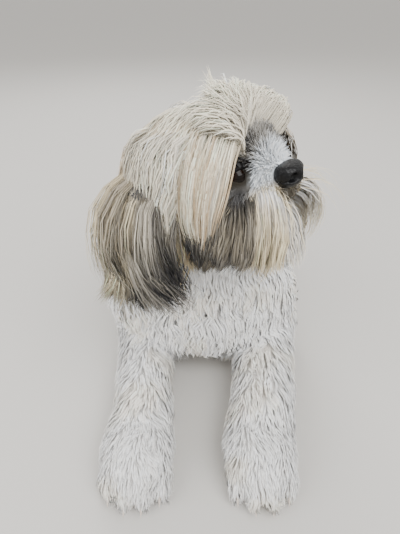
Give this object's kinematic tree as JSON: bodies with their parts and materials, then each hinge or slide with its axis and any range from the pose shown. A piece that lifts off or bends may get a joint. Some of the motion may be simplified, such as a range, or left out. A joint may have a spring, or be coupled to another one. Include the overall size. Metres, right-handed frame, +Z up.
{
  "type": "shih tzu",
  "caption": "Life-size still model of a long-coated small dog lying with its forelegs stretched out and its head turned to one side",
  "frame": {"origin": "On the floor under the breastbone, on the flat that the torso rests on", "axes": "+Z up, -Y the way the chest faces, +X the dog's left side"},
  "size_m": [0.2423, 0.5685, 0.3098],
  "materials": {
    "coat": "soft white and cream hair with gold and grey patches",
    "ear_coat": "long grey, brown and near-black hair",
    "eye": "wet, near-black brown",
    "nose": "moist black leather",
    "claw": "dark horn"
  },
  "bodies": {
    "root": {"claw_fore_left_1": "claw", "claw_fore_left_2": "claw", "claw_fore_left_3": "claw", "claw_fore_left_4": "claw", "claw_fore_right_1": "claw", "claw_fore_right_2": "claw", "claw_fore_right_3": "claw", "claw_fore_right_4": "claw", "claw_hind_left_1": "claw", "claw_hind_left_2": "claw", "claw_hind_left_3": "claw", "claw_hind_left_4": "claw", "claw_hind_right_1": "claw", "claw_hind_right_2": "claw", "claw_hind_right_3": "claw", "claw_hind_right_4": "claw", "ear_left": "ear_coat", "ear_right": "ear_coat", "eye_left": "eye", "eye_right": "eye", "foreleg_left": "coat", "foreleg_right": "coat", "head": "coat", "hindleg_left": "coat", "hindleg_right": "coat", "jaw": "coat", "muzzle": "coat", "neck": "coat", "nose": "nose", "tail": "coat", "torso": "coat"}
  },
  "joints": []
}
